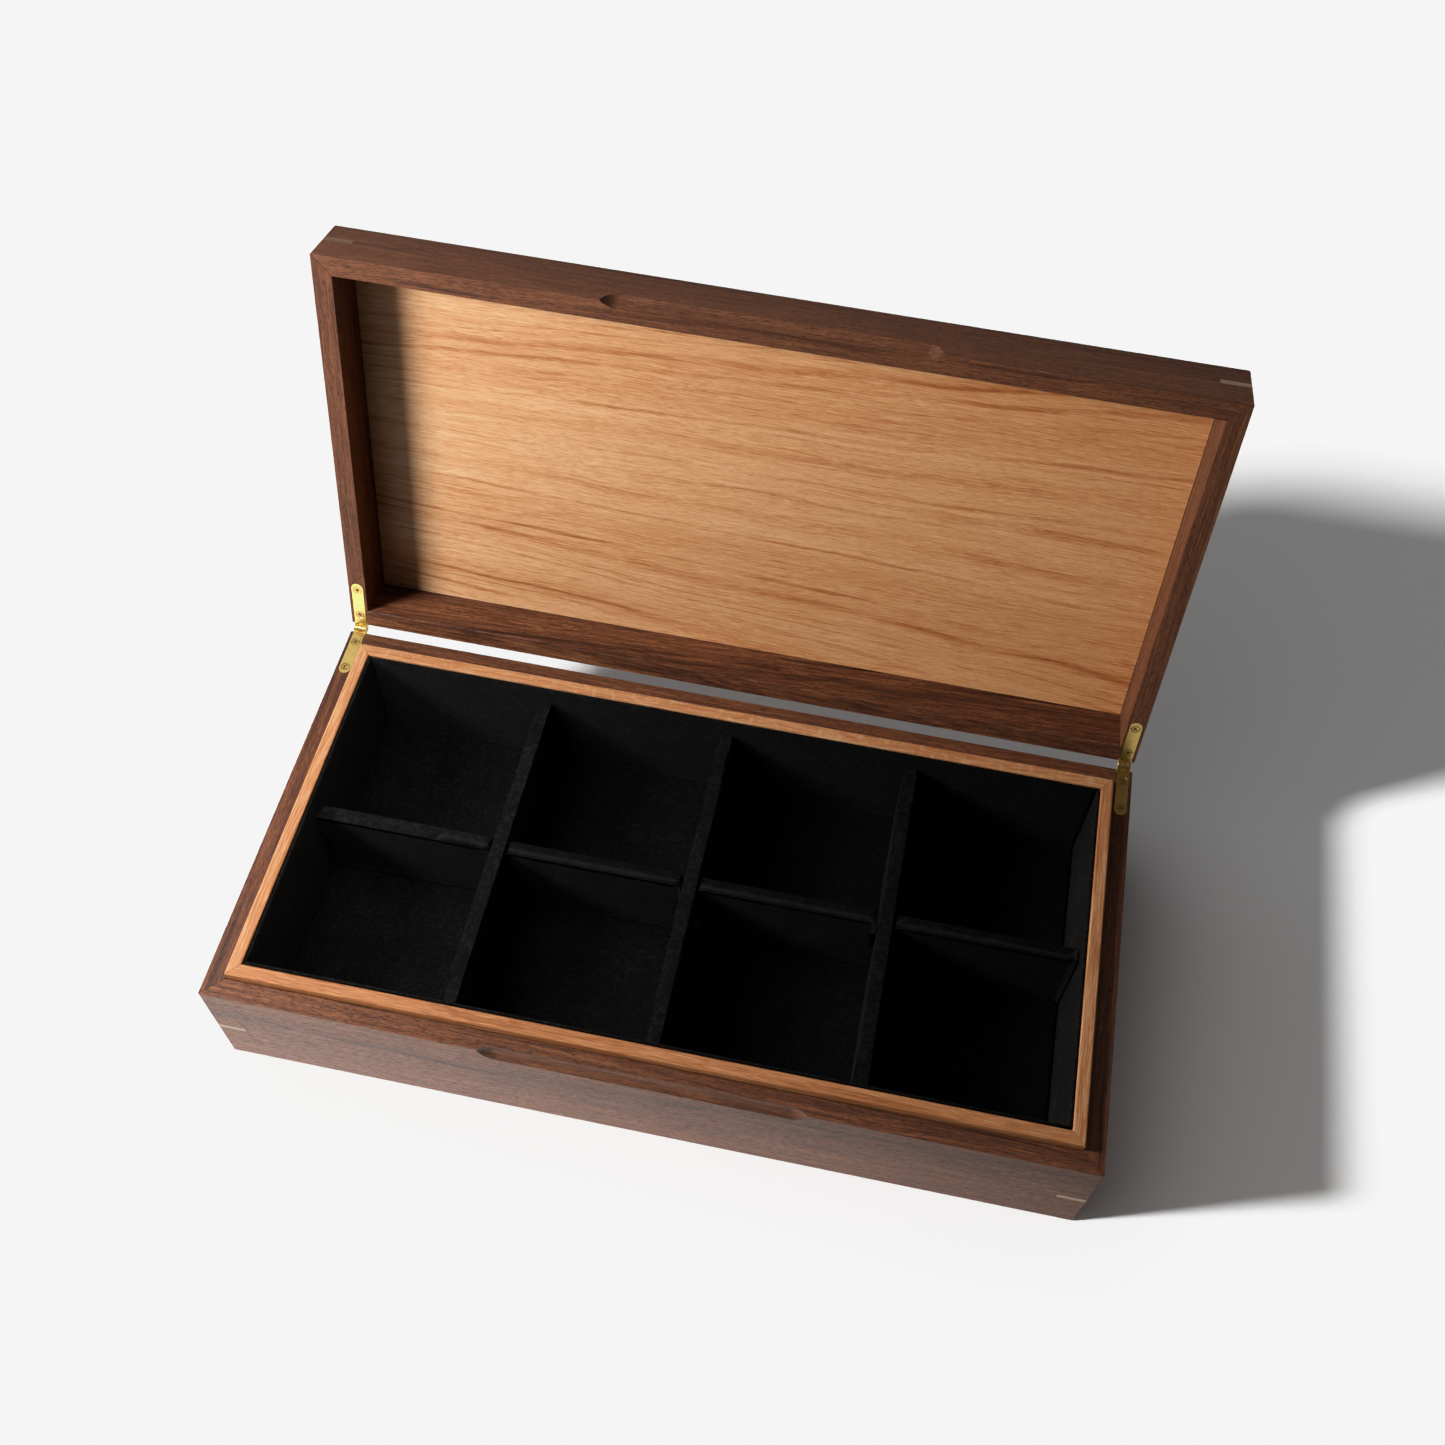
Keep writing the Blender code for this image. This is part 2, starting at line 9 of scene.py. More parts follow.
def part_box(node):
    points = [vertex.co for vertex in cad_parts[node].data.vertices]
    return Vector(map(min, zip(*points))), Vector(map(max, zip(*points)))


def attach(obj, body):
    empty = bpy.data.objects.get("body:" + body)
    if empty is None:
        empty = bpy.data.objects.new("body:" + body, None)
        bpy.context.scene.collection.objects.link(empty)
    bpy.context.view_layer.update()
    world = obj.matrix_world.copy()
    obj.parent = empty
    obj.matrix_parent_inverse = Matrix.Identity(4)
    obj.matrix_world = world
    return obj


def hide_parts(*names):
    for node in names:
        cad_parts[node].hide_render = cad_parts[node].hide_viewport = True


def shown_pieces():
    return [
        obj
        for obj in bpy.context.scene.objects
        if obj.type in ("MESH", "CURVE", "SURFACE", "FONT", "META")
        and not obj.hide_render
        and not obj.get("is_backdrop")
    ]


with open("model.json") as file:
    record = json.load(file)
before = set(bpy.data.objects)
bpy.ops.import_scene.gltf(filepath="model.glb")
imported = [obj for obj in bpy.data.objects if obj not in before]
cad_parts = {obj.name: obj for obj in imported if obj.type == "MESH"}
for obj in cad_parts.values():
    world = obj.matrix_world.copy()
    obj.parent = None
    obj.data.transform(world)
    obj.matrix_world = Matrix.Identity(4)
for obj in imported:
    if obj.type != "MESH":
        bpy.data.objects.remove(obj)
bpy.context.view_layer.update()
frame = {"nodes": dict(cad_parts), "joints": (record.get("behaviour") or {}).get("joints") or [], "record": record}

MM = 1000.0  # grain coordinates are in millimetres
SQUARE = 0.004  # the side of the squares that a suede surface is cut into, in metres
TINY = 1e-6  # points closer than this, in metres, count as one
NODES = frame["nodes"]
JOINT = frame["joints"][0]
AXIS = Vector(JOINT["pos_m"])
OPEN_ANGLE = radians(JOINT["range_deg"][1])
TO_CLOSED = (
    Matrix.Translation(AXIS) @ Matrix.Rotation(OPEN_ANGLE, 4, "X") @ Matrix.Translation(-AXIS)
)
BODY_OF = {
    node: body
    for body, members in frame["record"]["behaviour"]["bodies"].items()
    for node in members
}


# ---------------------------------------------------------------- node trees


class Graph:
    """A node tree, written as calls that return sockets."""

    def __init__(self, tree):
        self.tree = tree

    def add(self, kind, inputs=None, **settings):
        node = self.tree.nodes.new(f"ShaderNode{kind}")
        for name, value in settings.items():
            setattr(node, name, value)
        for name, value in (inputs or {}).items():
            self.feed(node.inputs[name], value)
        return node

    def feed(self, socket, value):
        if isinstance(value, bpy.types.NodeSocket):
            self.tree.links.new(value, socket)
        else:
            socket.default_value = value

    def math(self, operation, *values):
        node = self.add("Math", operation=operation)
        for socket, value in zip(node.inputs, values):
            self.feed(socket, value)
        return node.outputs[0]

    def vector(self, operation, *values):
        node = self.add("VectorMath", operation=operation)
        for socket, value in zip(node.inputs, values):
            self.feed(socket, value)
        return node.outputs["Value" if operation in ("LENGTH", "DOT_PRODUCT") else "Vector"]

    def scaled(self, vector, factors):
        return self.vector("MULTIPLY", vector, factors)

    def noise(self, vector, scale=1.0, detail=2.0, roughness=0.5, output="Fac"):
        values = {"Vector": vector, "Scale": scale, "Detail": detail, "Roughness": roughness}
        return self.add("TexNoise", values).outputs[output]

    def noise_1d(self, value, scale=1.0, detail=2.0):
        values = {"W": value, "Scale": scale, "Detail": detail}
        return self.add("TexNoise", values, noise_dimensions="1D").outputs["Fac"]

    def span(self, value, low, high, to_low=0.0, to_high=1.0, smooth=True):
        node = self.add("MapRange", interpolation_type="SMOOTHSTEP" if smooth else "LINEAR")
        for name, number in (("Value", value), ("From Min", low), ("From Max", high)):
            self.feed(node.inputs[name], number)
        self.feed(node.inputs["To Min"], to_low)
        self.feed(node.inputs["To Max"], to_high)
        return node.outputs["Result"]

    def mix(self, factor, first, second, blend="MIX"):
        """Two colours mixed. A Mix node's colour sockets come after those for numbers."""
        node = self.add("Mix", data_type="RGBA", blend_type=blend)
        for index, value in ((0, factor), (6, first), (7, second)):
            self.feed(node.inputs[index], value)
        return node.outputs[2]

    def ramp(self, factor, stops):
        node = self.add("ValToRGB")
        band = node.color_ramp
        while len(band.elements) < len(stops):
            band.elements.new(0.5)
        for element, (place, colour) in zip(band.elements, stops):
            element.position = place
            element.color = (*colour, 1.0)
        self.feed(node.inputs["Fac"], factor)
        return node.outputs["Color"]

    def bump(self, height, distance, strength=1.0, normal=None):
        node = self.add("Bump", {"Height": height, "Distance": distance, "Strength": strength})
        if normal is not None:
            self.feed(node.inputs["Normal"], normal)
        return node.outputs["Normal"]

    def millimetres(self):
        """The object's own coordinates, in millimetres"""
        return self.scaled(self.add("TexCoord").outputs["Object"], (MM, MM, MM))


def new_material(name):
    """(material, its graph, its Principled shader)"""
    made = bpy.data.materials.new(name)
    made.use_nodes = True
    tree = made.node_tree
    return made, Graph(tree), tree.nodes["Principled BSDF"]


def new_group(name, inputs, outputs):
    tree = bpy.data.node_groups.new(name, "ShaderNodeTree")
    for label, kind in inputs:
        tree.interface.new_socket(label, in_out="INPUT", socket_type=f"NodeSocket{kind}")
    for label, kind in outputs:
        tree.interface.new_socket(label, in_out="OUTPUT", socket_type=f"NodeSocket{kind}")
    start = tree.nodes.new("NodeGroupInput")
    end = tree.nodes.new("NodeGroupOutput")
    return Graph(tree), start.outputs, end.inputs


def set_material(obj, made):
    obj.data.materials.clear()
    obj.data.materials.append(made)


def new_object(name, data):
    made = bpy.data.objects.new(name, data)
    bpy.context.scene.collection.objects.link(made)
    return made


# ---------------------------------------------------------------- wood


def wandering(g, grain, sizes, amount):
    """Grain coordinates pushed sideways by slow noise, so that the rings wander. The sizes are
    those of the noise, and they and the amount are in millimetres."""
    slow = g.noise(g.scaled(grain, [1 / size for size in sizes]), detail=2.0, output="Color")
    centred = g.vector("SUBTRACT", slow, (0.5, 0.5, 0.5))
    return g.vector("ADD", grain, g.scaled(centred, (0, amount, amount)))


def rings_at(g, grain, taper, spacing):
    """How many growth rings lie between the pith, along X, and a point. The trunk's taper
    spreads them towards +X."""
    along = g.add("SeparateXYZ", {"Vector": grain}).outputs["X"]
    radius = g.vector("LENGTH", g.scaled(grain, (0, 1, 1)))
    thinning = g.math("MULTIPLY_ADD", along, g.math("MULTIPLY", taper, -1.0), 1.0)
    return g.math("DIVIDE", g.math("MULTIPLY", radius, thinning), spacing)


def fibres(g, grain, length, width, detail=3.0):
    """Noise in streaks along the grain, of about this length and width."""
    return g.noise(g.scaled(grain, (1 / length, 1 / width, 1 / width)), detail=detail)


def end_grain(g, direction):
    """From 0 on a face along the grain to 1 on one across it."""
    return g.math("ABSOLUTE", g.add("SeparateXYZ", {"Vector": direction}).outputs["X"])


def summed(g, start, *terms):
    """start + each (noise around 0.5, its weight)"""
    total = start
    for value, weight in terms:
        total = g.math("MULTIPLY_ADD", value, weight, g.math("SUBTRACT", total, weight / 2))
    return total


def walnut_group():
    """Black walnut: soft brown streaks, a thin dark line here and there, and fine pores."""
    g, given, wanted = new_group(
        "walnut_figure",
        [("Grain", "Vector"), ("Direction", "Vector"), ("Tone", "Float"), ("Contrast", "Float")],
        [("Color", "Color"), ("Roughness", "Float"), ("Height", "Float")],
    )
    bent = wandering(g, given["Grain"], sizes=(150, 34, 34), amount=11)
    ring = rings_at(g, bent, taper=0.0, spacing=4.5)
    band = g.noise_1d(ring, scale=0.30, detail=2.0)
    lines = g.span(g.noise_1d(ring, scale=1.05, detail=1.5), 0.56, 0.74)
    fading = g.span(fibres(g, bent, 110, 9, detail=1.0), 0.42, 0.62)
    streak = fibres(g, bent, 55, 1.1)
    fine = fibres(g, bent, 14, 0.30)
    pores = g.span(fibres(g, bent, 3.4, 0.22, detail=1.0), 0.56, 0.66)

    tone = summed(g, 0.0, (band, 0.62), (streak, 0.78), (fine, 0.62))
    tone = g.math("MULTIPLY_ADD", g.math("MULTIPLY", lines, fading), -0.30, tone)
    tone = g.math("MULTIPLY_ADD", tone, given["Contrast"], g.math("ADD", given["Tone"], 0.5))
    colour = g.ramp(
        tone,
        [
            (0.05, (0.030, 0.009, 0.004)),
            (0.35, (0.085, 0.027, 0.011)),
            (0.60, (0.165, 0.056, 0.022)),
            (0.95, (0.300, 0.120, 0.050)),
        ],
    )
    colour = g.mix(g.math("MULTIPLY", pores, 0.70), colour, (0.024, 0.008, 0.004, 1))
    cut = end_grain(g, given["Direction"])
    colour = g.mix(g.span(cut, 0.15, 0.75, 0.0, 0.72), colour, (0.026, 0.012, 0.008, 1))
    g.feed(wanted["Color"], colour)
    rough = g.math("MULTIPLY_ADD", fine, 0.24, 0.42)
    g.feed(wanted["Roughness"], g.math("MULTIPLY_ADD", pores, 0.2, rough))
    height = g.math("MULTIPLY_ADD", pores, -1.0, g.math("MULTIPLY", fine, 0.5))
    g.feed(wanted["Height"], height)
    return g.tree


def oak_group():
    """Oak: soft reddish bands and lines between paler ones, open pores, and pale ray flecks."""
    g, given, wanted = new_group(
        "oak_figure",
        [("Grain", "Vector"), ("Direction", "Vector"), ("Taper", "Float"), ("Tone", "Float"),
         ("Flecks", "Float"), ("Painted_falloff", "Float")],
        [("Color", "Color"), ("Roughness", "Float"), ("Height", "Float")],
    )
    grain = given["Grain"]
    bent = wandering(g, grain, sizes=(120, 30, 30), amount=10)
    bent = wandering(g, bent, sizes=(14, 3, 3), amount=0.5)
    ring = rings_at(g, bent, given["Taper"], spacing=3.1)
    band = g.noise_1d(ring, scale=0.17, detail=2.0)
    lines = g.span(g.noise_1d(ring, scale=0.75, detail=2.0), 0.46, 0.74)
    fading = g.span(fibres(g, bent, 90, 7, detail=1.5), 0.36, 0.66)
    lines = g.math("MULTIPLY", lines, fading)
    streak = fibres(g, bent, 34, 0.62)
    fine = fibres(g, bent, 9, 0.34)
    pores = g.span(fibres(g, bent, 4.2, 0.34, detail=1.0), 0.52, 0.66)
    pores = g.math("MULTIPLY", pores, g.math("MULTIPLY_ADD", lines, 0.5, 0.5))

    tone = summed(g, 0.64, (band, 0.80), (streak, 0.85), (fine, 0.85))
    tone = g.math("MULTIPLY_ADD", lines, -0.34, tone)
    tone = g.math("ADD", tone, given["Tone"])
    colour = g.ramp(
        tone,
        [
            (0.02, (0.240, 0.075, 0.020)),
            (0.35, (0.415, 0.168, 0.063)),
            (0.62, (0.555, 0.300, 0.142)),
            (0.95, (0.670, 0.420, 0.235)),
        ],
    )
    colour = g.mix(g.math("MULTIPLY", pores, 0.50), colour, (0.270, 0.095, 0.030, 1))
    across = g.noise(g.scaled(grain, (0.30, 0.16, 0.16)), detail=2.0, roughness=0.6)
    flecks = g.math("MULTIPLY", g.span(across, 0.52, 0.70), given["Flecks"])
    colour = g.mix(flecks, colour, (0.640, 0.400, 0.220, 1))
    # Painted light: on the lid's oak panel the colour turns redder and deeper towards +X. This stands in for the
    # key light washing the left end paler, and is not the wood's own tone.
    along = g.add("SeparateXYZ", {"Vector": grain}).outputs["X"]
    painted_falloff_tint = g.math("MULTIPLY", g.span(along, -200.0, 200.0, smooth=False), given["Painted_falloff"])
    colour = g.mix(painted_falloff_tint, colour, (1.250, 1.030, 0.820, 1), "MULTIPLY")
    cut = end_grain(g, given["Direction"])
    colour = g.mix(g.span(cut, 0.2, 0.9, 0.0, 0.5), colour, (0.260, 0.120, 0.050, 1))
    g.feed(wanted["Color"], colour)
    rough = g.math("MULTIPLY_ADD", fine, 0.18, 0.40)
    g.feed(wanted["Roughness"], g.math("MULTIPLY_ADD", pores, 0.25, rough))
    height = g.math("MULTIPLY_ADD", pores, -1.0, g.math("MULTIPLY", fine, 0.4))
    g.feed(wanted["Height"], height)
    return g.tree


def closed_centre(node):
    """The middle of a CAD node's box, with the lid shut."""
    turn = TO_CLOSED if BODY_OF[node] == "lid" else Matrix.Identity(4)
    points = [turn @ vertex.co for vertex in NODES[node].data.vertices]
    low = Vector([min(point[axis] for point in points) for axis in range(3)])
    high = Vector([max(point[axis] for point in points) for axis in range(3)])
    return (low + high) / 2


def grain_place(node, along, pith, tilt):
    """The matrix from a node's own coordinates to grain coordinates: X runs along the fibres,
    and the tree's pith lies on the X axis. `pith` is where the board's middle lies from it."""
    matrix = Matrix.Translation(-closed_centre(node))
    if BODY_OF[node] == "lid":
        matrix = matrix @ TO_CLOSED
    if along == "Y":
        matrix = Matrix.Rotation(-pi / 2, 4, "Z") @ matrix
    lean = Euler([radians(angle) for angle in tilt]).to_matrix().to_4x4()
    return Matrix.Translation([distance / MM for distance in pith]) @ lean @ matrix


def grain_at(g, place):
    """The object's own coordinates, moved to a place in the grain"""
    source = g.add("TexCoord").outputs["Object"]
    moved = {"Location": place.to_translation() * MM, "Rotation": place.to_euler()}
    mapping = g.add("Mapping", {"Vector": source, "Scale": (MM, MM, MM), **moved})
    return mapping.outputs["Vector"]


def figured(name, group, place, relief, **settings):
    """A material that cuts a board out of the grain at a place. `relief` is how deep the pores
    look, in metres."""
    made, g, shader = new_material(name)
    normal = g.add("TexCoord").outputs["Normal"]
    turned = {"Vector": normal, "Rotation": place.to_euler()}
    direction = g.add("Mapping", turned, vector_type="VECTOR").outputs["Vector"]
    figure = g.add("Group", node_tree=group)
    g.feed(figure.inputs["Grain"], grain_at(g, place))
    g.feed(figure.inputs["Direction"], direction)
    for label, value in settings.items():
        figure.inputs[label.capitalize()].default_value = value
    g.feed(shader.inputs["Base Color"], figure.outputs["Color"])
    g.feed(shader.inputs["Roughness"], figure.outputs["Roughness"])
    g.feed(shader.inputs["Normal"], g.bump(figure.outputs["Height"], relief))
    shader.inputs["Specular IOR Level"].default_value = 0.28
    return made


def finish_walnut():
    group = walnut_group()
    boards = {
        # node: (grain axis, middle's place from the pith, tilt in degrees, tone, contrast)
        "base_front_wall": ("X", (0, -70, 18), (0, 0.4, 1.0), 0.02, 1.1),
        "base_back_wall": ("X", (900, 60, 30), (0, -0.6, 0.8), 0.0, 1.0),
        "base_left_wall": ("Y", (1500, 55, -25), (0, 0.5, -0.7), -0.06, 1.0),
        "base_right_wall": ("Y", (2100, -65, 12), (0, -0.5, 0.6), 0.0, 1.0),
        "lid_front_rail": ("X", (2700, -62, 36), (0, -0.6, 0.8), 0.02, 0.9),
        "lid_back_rail": ("X", (3300, 28, 58), (0, 3.5, -2.0), -0.02, 1.8),
        "lid_left_rail": ("Y", (3900, 48, 34), (0, 0.7, 0.5), 0.0, 1.0),
        "lid_right_rail": ("Y", (4500, -52, 24), (0, -0.6, 0.7), 0.07, 1.0),
        "lid_top_panel": ("X", (5100, 14, 52), (0, 1.6, 0.9), 0.0, 1.0),
    }
    for node, (along, pith, tilt, tone, contrast) in boards.items():
        place = grain_place(node, along, pith, tilt)
        made = figured(
            f"walnut_{node}", group, place, relief=0.00010, tone=tone, contrast=contrast
        )
        set_material(NODES[node], made)


def finish_oak():
    group = oak_group()
    labels = ("tone", "flecks", "taper", "painted_falloff")
    boards = {
        # node: (grain axis, middle's place from the pith, tilt in degrees, value of each label)
        "lid_oak_panel": ("X", (0, 8, 5), (0, 0.5, 0.0), 0.0, 0.0, 0.0012, 1.0),
        "liner_front": ("X", (700, -50, 40), (0, 0.3, 0.5), -0.38, 0.0, 0.0, 0.0),
        "liner_back": ("X", (1400, 20, 60), (0, 0.3, -0.5), -0.14, 0.35, 0.0, 0.0),
        "liner_left": ("Y", (2100, -40, 50), (0, 0.4, 0.5), -0.20, 0.0, 0.0, 0.0),
        "liner_right": ("Y", (2800, 45, 40), (0, -0.3, 0.6), -0.28, 0.0, 0.0, 0.0),
    }
    for node, (along, pith, tilt, *values) in boards.items():
        place = grain_place(node, along, pith, tilt)
        settings = dict(zip(labels, values))
        set_material(NODES[node], figured(f"oak_{node}", group, place, relief=0.00005, **settings))


def plain_wood(name, node, dark, pale):
    """Close-grained wood, for the keys and for the face veneer of the bottom."""
    made, g, shader = new_material(name)
    place = grain_place(node, "X", pith=(0, 30, 20), tilt=(0, 0.5, 0.5))
    bent = wandering(g, grain_at(g, place), sizes=(120, 30, 30), amount=8)
    streak = fibres(g, bent, 20, 0.7)
    fine = fibres(g, bent, 5, 0.18)
    ring = rings_at(g, bent, taper=0.0, spacing=2.2)
    tone = summed(g, 0.5, (g.noise_1d(ring, scale=0.6), 0.5), (streak, 0.5))
    colour = g.ramp(tone, [(0.25, dark), (0.75, pale)])
    g.feed(shader.inputs["Base Color"], colour)
    g.feed(shader.inputs["Roughness"], g.math("MULTIPLY_ADD", fine, 0.2, 0.4))
    g.feed(shader.inputs["Normal"], g.bump(fine, distance=0.00004))
    return made


def finish_keys_and_bottom():
    # The keys on the right are painted paler as if lit, and the rest darker as if in shade: lit and shaded copies
    # of one maple.
    painted_shade_maple = {"dark": (0.140, 0.070, 0.035), "pale": (0.255, 0.148, 0.078)}
    painted_light_maple = {"dark": (0.300, 0.175, 0.100), "pale": (0.500, 0.330, 0.200)}
    birch = {"dark": (0.380, 0.240, 0.120), "pale": (0.560, 0.390, 0.220)}
    for node in NODES:
        if "_key_" in node:
            colours = painted_light_maple if node.endswith("_right") else painted_shade_maple
            set_material(NODES[node], plain_wood(f"maple_{node}", node, **colours))
    bottom = "base_bottom_panel"
    set_material(NODES[bottom], plain_wood("birch_bottom", bottom, **birch))


# ---------------------------------------------------------------- brass


def brass(name, colour, roughness, tarnish):
    """Brass with clouds of tarnish, fine scratches and a few dull spots."""
    made, g, shader = new_material(name)
    coordinates = g.millimetres()
    cloud = g.noise(coordinates, scale=0.35, detail=4.0, roughness=0.6)
    scratch = g.noise(g.scaled(coordinates, (9.0, 0.5, 0.5)), detail=3.0)
    spots = g.span(g.noise(coordinates, scale=2.3, detail=3.0), 0.58, 0.70)
    base = g.mix(g.span(cloud, 0.35, 0.70), (*colour, 1), (*tarnish, 1))
    base = g.mix(g.math("MULTIPLY", spots, 0.18), base, (0.30, 0.20, 0.07, 1))
    g.feed(shader.inputs["Base Color"], base)
    shader.inputs["Metallic"].default_value = 1.0
    rough = g.math("MULTIPLY_ADD", scratch, 0.16, roughness - 0.08)
    g.feed(shader.inputs["Roughness"], g.math("MULTIPLY_ADD", spots, 0.15, rough))
    soft_edges = g.add("Bevel", {"Radius": 0.00012}, samples=4).outputs["Normal"]
    grooved = g.bump(scratch, distance=0.00001, strength=0.6, normal=soft_edges)
    g.feed(shader.inputs["Normal"], grooved)
    return made


def finish_brass():
    leaf = brass(
        "polished_brass", colour=(0.80, 0.57, 0.19), roughness=0.30, tarnish=(0.72, 0.50, 0.15)
    )
    screw = brass(
        "screw_brass", colour=(0.62, 0.43, 0.15), roughness=0.34, tarnish=(0.46, 0.31, 0.10)
    )
    for node, obj in NODES.items():
        if node.endswith("_screw"):
            set_material(obj, screw)
        elif "_hinge_" in node:
            set_material(obj, leaf)


# ---------------------------------------------------------------- suede


def suede(name, shade):
    """Black suede: a short nap that lies in patches and catches light at grazing angles. `shade` scales its
    colour: 1 for most of it, above 1 as painted light on a wall that faces the key, below 1 as painted shade on
    the floor of the cells."""
    made, g, shader = new_material(name)
    coordinates = g.millimetres()
    patches = g.noise(coordinates, scale=0.055, detail=4.0, roughness=0.62)
    brushed = g.noise(g.scaled(coordinates, (0.25, 0.25, 0.5)), detail=4.0, roughness=0.65)
    nap = g.noise(coordinates, scale=1.5, detail=4.0, roughness=0.75)
    fuzz = g.noise(coordinates, scale=0.55, detail=3.0, roughness=0.7)
    tone = summed(g, 0.45, (patches, 0.40), (brushed, 0.50), (nap, 0.90), (fuzz, 1.00))
    levels = ((0.30, 0.0018), (0.50, 0.0042), (0.78, 0.0130))
    warm_grey = (1.0, 0.95, 0.92)
    steps = [(at, [level * shade * part for part in warm_grey]) for at, level in levels]
    g.feed(shader.inputs["Base Color"], g.ramp(tone, steps))
    g.feed(shader.inputs["Roughness"], g.math("MULTIPLY_ADD", nap, 0.2, 0.75))
    shader.inputs["Specular IOR Level"].default_value = 0.05
    shader.inputs["Sheen Weight"].default_value = 0.020
    shader.inputs["Sheen Roughness"].default_value = 0.45
    g.feed(shader.inputs["Normal"], g.bump(nap, distance=0.00035))
    return made


def covered(node, fabric, relief, lift=0.0):
    """A CAD board wrapped in suede: the same shape cut into small squares, whose corners lie
    a little under the surface by an uneven depth. `lift` is how far the nap stands up on top."""
    top_skin = 0.001  # metres
    swell, ripple = 90, 330  # waves to a metre
    shape = bmesh.new()
    shape.from_mesh(NODES[node].data)
    bmesh.ops.remove_doubles(shape, verts=shape.verts, dist=TINY)
    bmesh.ops.dissolve_limit(
        shape, angle_limit=radians(1.0), verts=shape.verts, edges=shape.edges
    )
    low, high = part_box(node)
    for axis in range(3):
        normal = Vector([float(other == axis) for other in range(3)])
        count = int((high[axis] - low[axis]) / SQUARE)
        for step in range(1, count):
            place = low + normal * (step * (high[axis] - low[axis]) / count)
            bmesh.ops.bisect_plane(
                shape, geom=shape.verts[:] + shape.edges[:] + shape.faces[:], dist=TINY,
                plane_co=place, plane_no=normal,
            )
    shape.normal_update()
    moves = []
    for vertex in shape.verts:
        wave = 0.6 * noise.noise(vertex.co * swell) + 0.4 * noise.noise(vertex.co * ripple)
        on_top = vertex.co.z > high.z - top_skin
        moves.append(vertex.normal * relief * (wave - 1.0) + Vector((0, 0, lift * on_top)))
    for vertex, move in zip(shape.verts, moves):
        vertex.co += move
    mesh = bpy.data.meshes.new(f"suede_{node}")
    shape.to_mesh(mesh)
    shape.free()
    mesh.shade_smooth()
    piece = new_object(f"suede_{node}", mesh)
    set_material(piece, fabric)
    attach(piece, BODY_OF[node])
    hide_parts(node)
    return piece


def cover_boards():
    fabric = suede("black_suede", shade=1.0)
    # Painted light: the right lining wall, which faces the key, gets a copy of the suede painted 1.8 times paler.
    painted_lit_suede = suede("black_suede_painted_lit", shade=1.8)
    for node in NODES:
        if "divider" in node:
            covered(node, fabric, relief=0.00045)
        elif node.startswith("lining_"):
            nap = painted_lit_suede if node.endswith("right") else fabric
            covered(node, nap, relief=0.00016, lift=0.0007)


def floor_cushion():
    """The floor pad, which swells a little in each cell between the dividers."""
    sink = 0.0008  # how far a cell's edges lie under its middle, in metres
    roundness = 0.4  # 1 would be a full round, and 0 flat
    low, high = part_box("floor_pad")
    across = [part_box(f"cross_divider_{place}") for place in ("left", "middle", "right")]
    lines_x = [low.x] + [(box[0].x + box[1].x) / 2 for box in across] + [high.x]
    lines_y = [low.y, 0.0, high.y]
    # Painted shade: the floor pad, deep in the cells, gets the suede painted at 0.6 of its colour.
    piece = covered("floor_pad", suede("black_suede_floor_painted_shade", shade=0.6), relief=0.00012)
    for vertex in piece.data.vertices:
        if vertex.co.z < (low.z + high.z) / 2:
            continue
        rise = 1.0
        for value, lines in ((vertex.co.x, lines_x), (vertex.co.y, lines_y)):
            start = max([line for line in lines if line <= value], default=lines[0])
            end = min([line for line in lines if line > value], default=lines[-1])
            share = (value - start) / max(end - start, TINY)
            rise *= max(sin(pi * min(max(share, 0), 1)), 0) ** roundness
        vertex.co.z -= sink * (1 - rise)


# ---------------------------------------------------------------- stage, light and camera


def add_floor():
    """A pale floor. The light that it throws back at the box fades to the right, and is strongest
    at the foot of the front wall."""
    mesh = bpy.data.meshes.new("floor")
    shape = bmesh.new()
    bmesh.ops.create_grid(shape, x_segments=1, y_segments=1, size=20.0)
    shape.to_mesh(mesh)
    shape.free()
    floor = new_object("floor", mesh)
    floor.location.z = -0.0002  # a hair under the box
    made, g, shader = new_material("pale_floor")
    shader.inputs["Base Color"].default_value = (0.86, 0.86, 0.86, 1)
    shader.inputs["Roughness"].default_value = 0.9
    shader.inputs["Specular IOR Level"].default_value = 0.0
    place = g.add("SeparateXYZ", {"Vector": g.add("TexCoord").outputs["Object"]}).outputs
    level = g.span(place["X"], -0.35, 0.35, 1.22, 0.26)
    foot = g.math("SUBTRACT", g.span(place["Y"], -0.26, -0.13), g.span(place["Y"], -0.10, 0.10))
    around = g.span(place["Y"], -0.10, 0.10, 0.30, 0.75)
    level = g.math("MULTIPLY", level, g.math("MULTIPLY_ADD", foot, 2.2, around))
    bounce = g.add("Emission", {"Strength": level, "Color": (1.0, 0.97, 0.94, 1)}).outputs[0]
    seen = g.add("LightPath").outputs["Is Camera Ray"]
    both = g.add("MixShader", {0: seen, 1: bounce, 2: shader.outputs[0]}).outputs[0]
    g.feed(g.tree.nodes["Material Output"].inputs["Surface"], both)
    set_material(floor, made)
    floor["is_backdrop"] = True
    return floor


def add_lamp(name, kind, location, target, receivers, blockers, **settings):
    """A lamp that no camera sees, aimed at the target. It lights only the receivers, and only the
    blockers cast its shadow."""
    data = bpy.data.lights.new(name, kind)
    for setting, value in settings.items():
        setattr(data, setting, value)
    lamp = new_object(name, data)
    lamp.location = location
    lamp.visible_camera = False
    aim = Vector(target) - Vector(location)
    lamp.rotation_euler = aim.to_track_quat("-Z", "Y").to_euler()
    for role, members in (("receiver", receivers), ("blocker", blockers)):
        group = bpy.data.collections.new(f"{name}_{role}s")
        for obj in members:
            group.objects.link(obj)
        setattr(lamp.light_linking, f"{role}_collection", group)
    return data


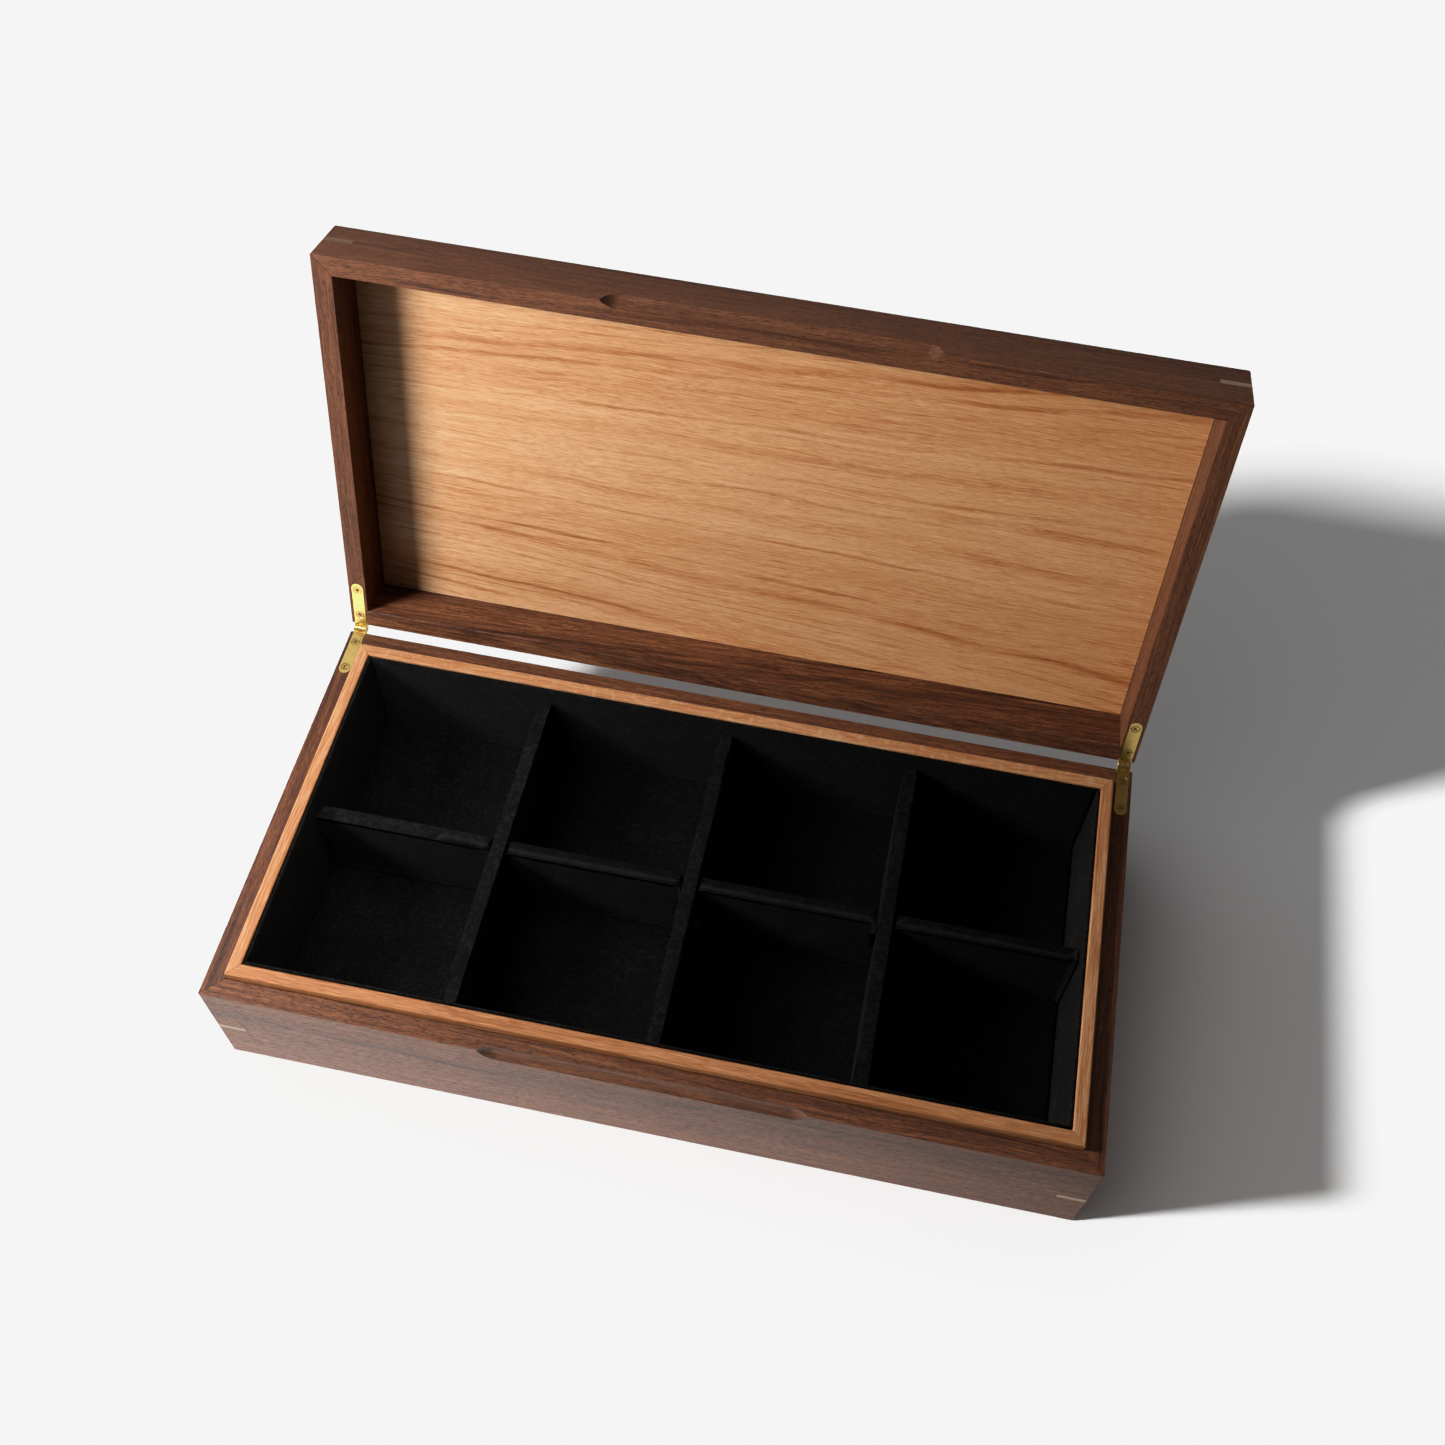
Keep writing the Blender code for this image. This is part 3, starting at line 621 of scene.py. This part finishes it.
def add_flag():
    """A strip that only a shadow ray meets. It keeps the sun out of the slit behind the box."""
    left, right, front, width = -0.222, 0.215, 0.1035, 0.010
    height = AXIS.z + 0.0012
    corners = [(left, front), (right, front), (right, front + width), (left, front + width)]
    mesh = bpy.data.meshes.new("flag")
    mesh.from_pydata([(x, y, height) for x, y in corners], [], [(0, 1, 2, 3)])
    flag = new_object("flag", mesh)
    for kind in ("camera", "diffuse", "glossy", "transmission", "volume_scatter"):
        setattr(flag, f"visible_{kind}", False)
    flag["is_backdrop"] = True
    return flag


def add_lights(floor):
    """A soft key from the left, weaker lamps that each lift one part, and a sun and a fill that
    light the floor alone, so that it stays even."""
    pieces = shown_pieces()
    suedes = [piece for piece in pieces if piece.name.startswith("suede_")]
    hard = [piece for piece in pieces if piece not in suedes]
    rail = [NODES["lid_front_rail"]]
    front = [NODES[node] for node in ("base_front_wall", "liner_front")] + rail
    front += [obj for node, obj in NODES.items() if "_key_" in node]
    middle = (0.0, 0.03, 0.09)
    origin = (0.0, 0.0, 0.0)

    for name, receivers, energy in (("key", hard, 8.9), ("key_on_suede", suedes, 4.9)):
        add_lamp(
            name, "AREA", (-0.600, -0.152, 0.500), middle, receivers, pieces,
            energy=energy, shape="DISK", size=0.21,
        )
    sun = add_lamp(
        "sun", "POINT", (-3.46, -1.15, 2.02), origin, [floor], [*pieces, add_flag()],
        energy=19.0, shadow_soft_size=0.21,
    )
    sun.use_nodes = True
    g = Graph(sun.node_tree)
    # A lamp's light on a flat floor falls with the cube of its distance, and this undoes that.
    distance = g.add("LightPath").outputs["Ray Length"]
    g.feed(g.tree.nodes["Emission"].inputs["Strength"], g.math("POWER", distance, 3.0))
    add_lamp(
        "floor_fill", "AREA", (-0.9, -0.5, 1.6), origin, [floor], pieces,
        energy=4.2, shape="DISK", size=1.8, color=(1.0, 0.955, 0.915),
    )
    add_lamp(
        "front", "SPOT", (-0.55, -0.45, 0.10), (-0.08, -0.11, 0.04), front, pieces,
        energy=10.4, shadow_soft_size=0.15, spot_size=radians(42), spot_blend=0.4,
    )
    add_lamp(
        "rail_top", "AREA", (-0.42, 0.32, 0.75), middle, rail, pieces,
        energy=1.0, shape="DISK", size=0.2,
    )
    add_lamp(
        "cells", "AREA", (-0.19, -0.01, 0.28), (-0.19, -0.01, 0.0), suedes, pieces,
        energy=0.66, shape="DISK", size=0.16,
    )


def add_world():
    """A dim studio, a little brighter overhead, with a pale wall behind the box and a window above
    it to the left. A camera sees it white."""
    world = bpy.data.worlds.new("studio")
    world.use_nodes = True
    g = Graph(world.node_tree)
    direction = g.add("TexCoord").outputs["Generated"]
    height = g.add("SeparateXYZ", {"Vector": direction}).outputs["Z"]
    level = g.span(height, 0.25, 0.90, 0.02, 0.07)
    glows = {
        # what: (direction, where its glow begins as a cosine, strength)
        "wall": ((0.6, 0.8, 0.0), 0.60, 0.20),
        "window": ((-0.5, 0.5, 0.707), 0.82, 0.9),
    }
    for toward, edge, strength in glows.values():
        cosine = g.vector("DOT_PRODUCT", direction, toward)
        level = g.math("ADD", level, g.span(cosine, edge, 1.0, 0.0, strength))
    background = world.node_tree.nodes["Background"]
    background.inputs["Color"].default_value = (1.0, 1.0, 1.0, 1)
    seen = g.add("LightPath").outputs["Is Camera Ray"]
    g.feed(background.inputs["Strength"], g.math("MAXIMUM", level, seen))
    bpy.context.scene.world = world


def add_camera():
    """The photograph's camera."""
    data = bpy.data.cameras.new("camera")
    data.sensor_width = 36.0
    data.lens = 39.05
    data.shift_x = -0.0203
    data.shift_y = -0.0180
    camera = new_object("camera", data)
    camera.location = (0.0763, -0.3462, 0.7565)
    camera.rotation_euler = [radians(angle) for angle in (33.884, -1.810, 11.088)]
    bpy.context.scene.camera = camera


def set_tones():
    """Plain tones, but for a shoulder that holds the lit floor at one even pale grey."""
    view = bpy.context.scene.view_settings
    view.view_transform = "Standard"
    view.use_curve_mapping = True
    mapping = view.curve_mapping
    mapping.extend = "HORIZONTAL"
    combined = mapping.curves[3]
    points = combined.points
    points[-1].location = (1.0, 0.913)
    points.new(0.80, 0.80)
    for point in points:
        point.handle_type = "VECTOR"
    mapping.update()


finish_walnut()
finish_oak()
finish_keys_and_bottom()
finish_brass()
cover_boards()
floor_cushion()
add_lights(add_floor())
add_world()
add_camera()
set_tones()
